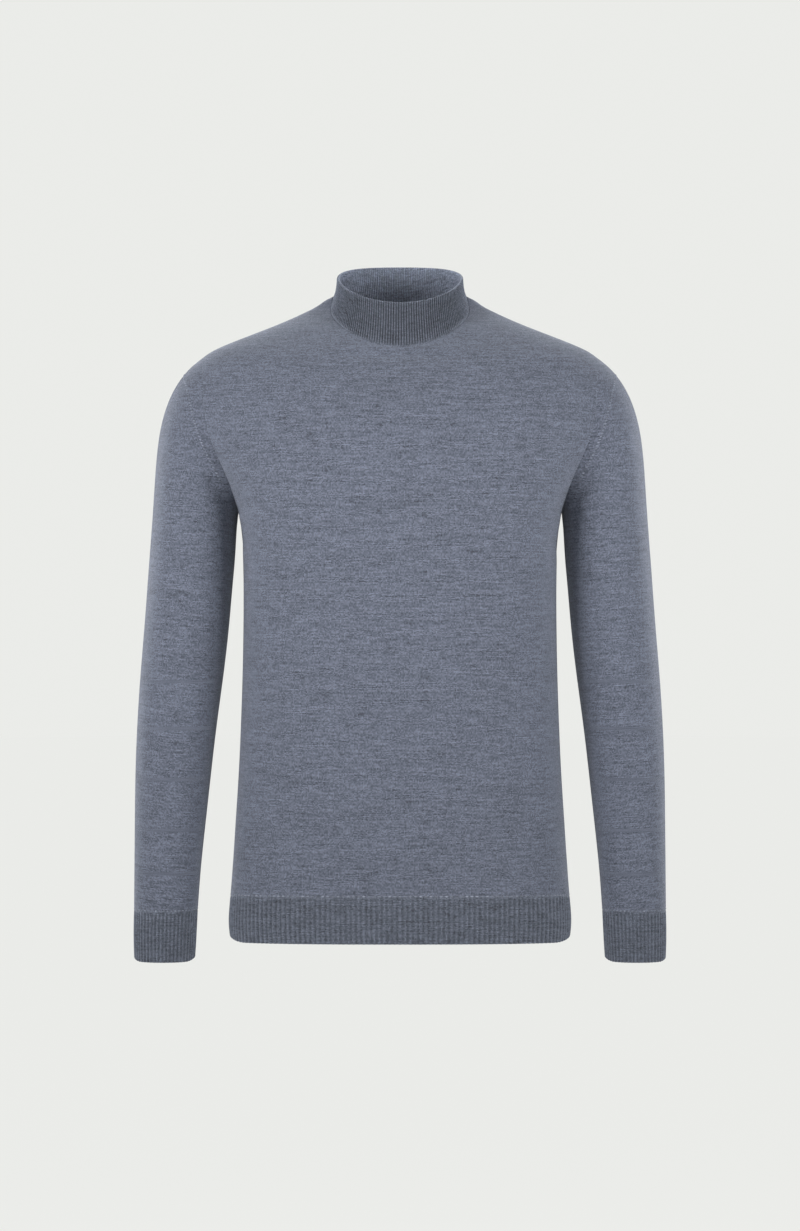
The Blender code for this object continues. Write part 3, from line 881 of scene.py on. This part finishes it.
def collar_wall(collar, knit):
    """The collar, from its seam up to its rounded rim."""
    columns = collar.ribs * RIB_COLUMNS
    turns = np.linspace(0, 2 * math.pi, 1441)
    length = lengths_along(collar_form(turns, [0.5])[0])
    turns = np.interp(np.linspace(0, length[-1], columns + 1)[:-1], length, turns)
    form = collar_form(turns, graded(COLLAR_LENGTH, RIB_GRID, SEAM_STEPS, FREE_EDGE_STEPS))
    wall = Wall(form, True, collar.wall)
    phase = np.tile(np.arange(columns + 1) / RIB_COLUMNS, (len(form), 1))
    set_ribs(wall, phase, knit, collar.rib_painted_shade,
             from_seam=distance_down(form), from_edge=distance_up(form))
    # painted highlight along the collar's folded rim
    wall.furrow_painted_shade -= seam_roll(distance_up(form), collar.lip_painted_highlight, LIP_REACH)
    # painted light on the collar's inside, which makes its reverse lighter
    wall.reverse_painted_light = collar.reverse_painted_light
    return wall


def spaced(points, normals, count):
    """Evenly spaced places along a line, with the way along it and the way out at each."""
    length = lengths_along(points)
    at = (np.arange(count) + 0.5) / count * length[-1]
    step = length[-1] / count / 4

    def read(values, where):
        return np.stack([np.interp(where, length, values[:, k]) for k in range(3)], axis=1)

    return read(points, at), read(points, at + step) - read(points, at - step), read(normals, at)


def a_length(name, about, default):
    return bpy.props.FloatProperty(name=name, description=about, default=default, unit="LENGTH")


def a_share(name, about, default):
    return bpy.props.FloatProperty(name=name, description=about, default=default, subtype="FACTOR")


def a_number(name, about, default):
    return bpy.props.FloatProperty(name=name, description=about, default=default)


def a_count(name, about, default):
    return bpy.props.IntProperty(name=name, description=about, default=default)


def a_colour(name, about, default):
    return bpy.props.FloatVectorProperty(
        name=name, description=about, subtype="COLOR", size=4, min=0.0, max=1.0, default=default)


class KnitSettings(bpy.types.PropertyGroup):
    """The yarn and the stitches"""
    jersey_colour: a_colour(
        "Jersey Colour", "Mean colour of the jersey's melange yarn", (0.078, 0.087, 0.116, 1.0))
    rib_colour: a_colour(
        "Rib Colour", "Mean colour of the ribs' melange yarn", (0.078, 0.088, 0.114, 1.0))
    loop_colour: a_colour(
        "Loop Colour", "Mean colour of the linking loops", (0.138, 0.151, 0.186, 1.0))
    jersey_wall: a_length("Jersey Thickness", "Thickness of the jersey", 0.0015)
    rib_wall: a_length("Rib Thickness", "Thickness of the ribs", 0.0022)
    rib_depth: a_length("Rib Depth", "Height of the ribs", 0.0010)
    wale: a_length("Wale", "Width of one stitch", 0.0026)
    course: a_length("Course", "Height of one stitch", 0.00108)
    lean: a_number("Lean", "How far a stitch's legs lean, in courses", 0.35)
    speckle: a_number("Speckle", "Difference of tone from leg to leg", 0.76)
    streak: a_number("Streak", "Difference of tone along a course", 0.90)
    long_streak: a_number("Long Streak", "Difference of tone from course to course", 0.50)
    streak_length: a_length("Streak Length", "Length over which the yarn's tone changes", 0.016)
    cloud: a_number("Cloud", "Broad unevenness of tone", 0.10)
    bump: a_number("Stitch Relief", "Strength of the stitches' relief", 0.5)
    roughness: a_share("Roughness", "Roughness of the yarn", 0.9)
    sheen: a_share("Fuzz", "Strength of the light fuzz at grazing angles", 0.30)


class TrunkSettings(bpy.types.PropertyGroup):
    """The front, the back and the hem rib"""
    stitch_grid: a_length("Grid", "Size of the panels' facets", 0.0034)
    hem_ribs: a_count("Hem Ribs", "Ribs across half of the hem", 85)
    # painted shade in the hem's furrows
    rib_painted_shade: a_share(
        "Hem Furrow Shade", "How much darker a furrow of the hem is than a rib", 0.34)


class SleeveSettings(bpy.types.PropertyGroup):
    """The sleeves and cuffs"""
    stitch_grid: a_length("Grid", "Size of the sleeves' facets", 0.0038)
    columns: a_count("Columns", "Facets round a sleeve", 96)
    cuff_ribs: a_count("Cuff Ribs", "Ribs round a cuff", 50)
    # painted shade in the cuffs' furrows
    cuff_rib_painted_shade: a_share(
        "Cuff Furrow Shade", "How much darker a furrow of a cuff is than a rib", 0.34)


class CollarSettings(bpy.types.PropertyGroup):
    """The collar"""
    wall: a_length("Thickness", "Thickness of the doubled rib", 0.0026)
    ribs: a_count("Ribs", "Ribs round the collar", 160)
    # painted shade in the collar's furrows
    rib_painted_shade: a_share(
        "Furrow Shade", "How much darker a furrow of the collar is than a rib", 0.80)
    # painted highlight along the collar's folded rim
    lip_painted_highlight: a_number("Lip Light", "How much lighter the folded rim is", 0.45)
    # painted light on the collar's inside: below zero the reverse is painted lighter
    reverse_painted_light: a_number(
        "Reverse Shade", "Shade of the collar's reverse, lighter below zero", -1.1)


class StageSettings(bpy.types.PropertyGroup):
    """The studio"""
    backdrop: a_colour("Backdrop", "Colour of the pale surroundings", (0.828, 0.836, 0.812, 1.0))
    ceiling: a_share("Ceiling", "Brightness overhead, as a share of the surroundings'", 0.15)
    floor_height: a_length("Floor Height", "Height of the floor under the sweater", -1.05)
    key_power: a_number("Key Power", "Power of the two front lights, in watts", 5.35)
    fill_power: a_number("Fill Power", "Power of the light high in front, in watts", 0.6)
    rim_power: a_number("Rim Power", "Power of the two lights behind, in watts", 3.2)
    spread: a_number("Spread", "How wide the lights' grids let them shine, in degrees", 48.0)
    aim_height: a_length("Aim Height", "Height that the lights are aimed at", -0.10)


def yarn(name):
    """The material of the jersey, the ribs or the linking loops, made once."""
    knit = bpy.context.scene.sweater_knit
    colours = {"melange_jersey": knit.jersey_colour, "melange_rib": knit.rib_colour,
               "linking_yarn": knit.loop_colour}
    return bpy.data.materials.get(name) or knit_shader(name, colours[name], knit)


class KnitPanels(bpy.types.Operator):
    """Knit the front and the back"""
    bl_idname = "sweater.knit_panels"
    bl_label = "Front and Back"

    def execute(self, context):
        scene, jersey = context.scene, yarn("melange_jersey")
        for facing, name, start in ((FRONT, "front", 0.0), (BACK, "back", 1.3)):
            wall = panel_wall(facing, scene.sweater_trunk, scene.sweater_knit)
            piece = wall.make(name + "_jersey", jersey, "jersey_knit", name, start)
        return {"FINISHED"}


class KnitHem(bpy.types.Operator):
    """Knit the two halves of the hem rib"""
    bl_idname = "sweater.knit_hem"
    bl_label = "Hem Rib"

    def execute(self, context):
        scene, rib = context.scene, yarn("melange_rib")
        for facing, name, start in ((FRONT, "hem_rib_front", 2.1), (BACK, "hem_rib_back", 3.3)):
            wall = hem_wall(facing, scene.sweater_trunk, scene.sweater_knit)
            piece = wall.make(name + "_ribs", rib, "rib_knit", name, start)
        return {"FINISHED"}


class KnitSleeves(bpy.types.Operator):
    """Knit the two sleeves"""
    bl_idname = "sweater.knit_sleeves"
    bl_label = "Sleeves"

    def execute(self, context):
        scene, jersey = context.scene, yarn("melange_jersey")
        left = sleeve_wall(scene.sweater_sleeve, scene.sweater_knit)
        right = left.mirrored()
        for wall, name, start in ((left, "sleeve_left", 4.2), (right, "sleeve_right", 5.4)):
            piece = wall.make(name + "_jersey", jersey, "jersey_knit", name, start)
        return {"FINISHED"}


class KnitCuffs(bpy.types.Operator):
    """Knit the two cuffs"""
    bl_idname = "sweater.knit_cuffs"
    bl_label = "Cuffs"

    def execute(self, context):
        scene, rib = context.scene, yarn("melange_rib")
        left = cuff_wall(scene.sweater_sleeve, scene.sweater_knit)
        for wall, name, start in ((left, "cuff_left", 6.2), (left.mirrored(), "cuff_right", 7.1)):
            piece = wall.make(name + "_ribs", rib, "rib_knit", name, start)
            sleeve = name.replace("cuff", "sleeve") + "_jersey"
        return {"FINISHED"}


class KnitCollar(bpy.types.Operator):
    """Knit the standing collar"""
    bl_idname = "sweater.knit_collar"
    bl_label = "Collar"

    def execute(self, context):
        scene, rib = context.scene, yarn("melange_rib")
        wall = collar_wall(scene.sweater_collar, scene.sweater_knit)
        piece = wall.make("collar_rib", rib, "rib_knit", "collar", 8.3)
        return {"FINISHED"}


HEM_LOOP = (0.0016, 0.0008, 0.0005)     # half sizes along, across and out
NECK_LOOP = (0.0010, 0.0007, 0.0005)
CUFF_LOOP = (0.0012, 0.0007, 0.0005)
MARK = (0.0014, 0.0006, 0.0005)
MARK_LEAN = 0.6
MARKS_ROUND = 130
MARKS_FROM_SEAM = 0.0045
MARKS_LOWEST = -0.195
MARKS_HIGHEST = -0.075
SIDES = (("left", (1, 1, 1)), ("right", (-1, 1, 1)))


class LinkSeams(bpy.types.Operator):
    """Lay the linking loops along the ribs' seams and the narrowing marks at the armholes"""
    bl_idname = "sweater.link_seams"
    bl_label = "Linking Loops"

    def execute(self, context):
        scene = context.scene
        jersey, pale = yarn("melange_jersey"), yarn("linking_yarn")
        for facing, side in ((FRONT, "front"), (BACK, "back")):
            wall = panel_wall(facing, scene.sweater_trunk, scene.sweater_knit)
            face = wall.face()
            line = spaced(face[1], wall.out[1], scene.sweater_trunk.hem_ribs)
            add_loops("hem_loops_" + side, *line, HEM_LOOP, pale)
            neck = np.abs(np.linspace(-1, 1, face.shape[1])) <= 0.5
            count = round(lengths_along(face[-3][neck])[-1] / scene.sweater_knit.wale)
            line = spaced(face[-3][neck], wall.out[-3][neck], count)
            add_loops("neck_loops_" + side, *line, NECK_LOOP, jersey)
        wall = sleeve_wall(scene.sweater_sleeve, scene.sweater_knit)
        for side, flip in SIDES:
            seam, normals = (closed_up(grid)[-2] * flip for grid in (wall.face(), wall.out))
            line = spaced(seam, normals, scene.sweater_sleeve.cuff_ribs)
            add_loops("cuff_loops_" + side, *line, CUFF_LOOP, pale)
        row = int(np.argmin(np.abs(distance_down(wall.form)[:, 0] - MARKS_FROM_SEAM)))
        centres, along, out = spaced(
            closed_up(wall.face())[row], closed_up(wall.out)[row], MARKS_ROUND)
        on = (centres[:, 2] < MARKS_HIGHEST) & (centres[:, 2] > MARKS_LOWEST)
        away = np.cross(along, out) + along * MARK_LEAN
        for side, flip in SIDES:
            line = (points[on] * flip for points in (centres, away, out))
            add_loops("narrowing_marks_" + side, *line, MARK, pale)
        return {"FINISHED"}


LIGHT_WIDTH = 0.8
LIGHT_TALLNESS = 1.6
RIGHT_KEY_SHARE = 0.85
FLOOR_RADIUS = 14.0
CAMERA_DISTANCE = 3.0
VIEW_WIDTH = 0.8424           # at the middle of the sweater
VIEW_HEIGHT = -0.3333


class SetStage(bpy.types.Operator):
    """Set the floor, the surroundings, the lights and the camera"""
    bl_idname = "sweater.set_stage"
    bl_label = "Stage"

    def execute(self, context):
        stage = context.scene.sweater_stage
        context.scene.world = bpy.data.worlds.new("studio")
        sky = Shader(context.scene.world)
        way = sky.node("ShaderNodeTexCoord", {}, {})
        split = sky.node("ShaderNodeSeparateXYZ", {}, {"Vector": way.outputs["Generated"]})
        dim = sky.node("ShaderNodeMapRange", {"interpolation_type": "SMOOTHSTEP"},
                       {"Value": split.outputs["Z"], "From Min": 0.30, "From Max": 0.95,
                        "To Min": 1.0, "To Max": stage.ceiling})
        sky.fill(sky.surface, {"Color": stage.backdrop, "Strength": dim.outputs["Result"]})
        bpy.ops.object.select_all(action="DESELECT")
        bpy.ops.mesh.primitive_circle_add(vertices=96, radius=FLOOR_RADIUS, fill_type="NGON",
                                          location=(0, 0, stage.floor_height))
        floor = context.object
        floor.name = "floor"
        paint = Shader(bpy.data.materials.new("pale_floor"))
        paint.fill(paint.surface, {
            "Base Color": (0.06, 0.06, 0.06, 1.0), "Roughness": 1.0, "Specular IOR Level": 0.0,
            "Emission Color": stage.backdrop, "Emission Strength": 0.965})
        floor.data.materials.append(paint.owner)
        for name, place, power in (
            ("key_left", (-1.60, -1.20, -0.10), stage.key_power),
            ("key_right", (1.60, -1.20, -0.10), stage.key_power * RIGHT_KEY_SHARE),
            ("fill_above", (0.0, -1.9, 1.5), stage.fill_power),
            ("rim_left", (-1.50, 1.30, 0.30), stage.rim_power),
            ("rim_right", (1.50, 1.30, 0.30), stage.rim_power),
        ):
            light = bpy.data.lights.new(name, "AREA")
            light.shape = "RECTANGLE"
            light.size, light.size_y = LIGHT_WIDTH, LIGHT_WIDTH * LIGHT_TALLNESS
            light.energy = power
            light.spread = math.radians(stage.spread)
            lamp = bpy.data.objects.new(name, light)
            context.scene.collection.objects.link(lamp)
            lamp.location = place
            aim = Vector((0, 0, stage.aim_height)) - Vector(place)
            lamp.rotation_euler = aim.to_track_quat("-Z", "Y").to_euler()
        lens = bpy.data.cameras.new("camera")
        lens.sensor_fit = "HORIZONTAL"
        lens.sensor_width = 36.0
        lens.lens = lens.sensor_width * CAMERA_DISTANCE / VIEW_WIDTH
        camera = bpy.data.objects.new("camera", lens)
        context.scene.collection.objects.link(camera)
        camera.location = (0, -CAMERA_DISTANCE, VIEW_HEIGHT)
        camera.rotation_euler = (math.pi / 2, 0, 0)
        context.scene.camera = camera
        context.scene.view_settings.view_transform = "Standard"
        return {"FINISHED"}


STEPS = (KnitPanels, KnitHem, KnitSleeves, KnitCuffs, KnitCollar, LinkSeams, SetStage)
GROUPS = {
    "sweater_knit": KnitSettings,
    "sweater_trunk": TrunkSettings,
    "sweater_sleeve": SleeveSettings,
    "sweater_collar": CollarSettings,
    "sweater_stage": StageSettings,
}


class SweaterPanel(bpy.types.Panel):
    """The steps and settings of the sweater"""
    bl_idname = "VIEW3D_PT_sweater"
    bl_label = "Turtleneck Sweater"
    bl_space_type = "VIEW_3D"
    bl_region_type = "UI"
    bl_category = "Sweater"

    def draw(self, context):
        for step in STEPS:
            self.layout.operator(step.bl_idname)
        for group in GROUPS:
            box = self.layout.box()
            settings = getattr(context.scene, group)
            for prop in settings.bl_rna.properties:
                if prop.identifier not in {"rna_type", "name"}:
                    box.prop(settings, prop.identifier)


def register():
    for cls in (*GROUPS.values(), *STEPS, SweaterPanel):
        bpy.utils.register_class(cls)
    for name, group in GROUPS.items():
        setattr(bpy.types.Scene, name, bpy.props.PointerProperty(type=group))


def unregister():
    for name in GROUPS:
        delattr(bpy.types.Scene, name)
    for cls in reversed((*GROUPS.values(), *STEPS, SweaterPanel)):
        bpy.utils.unregister_class(cls)


def main():
    register()
    for step in STEPS:
        family, name = step.bl_idname.split(".")
        getattr(getattr(bpy.ops, family), name)()


if __name__ == "__main__":
    main()
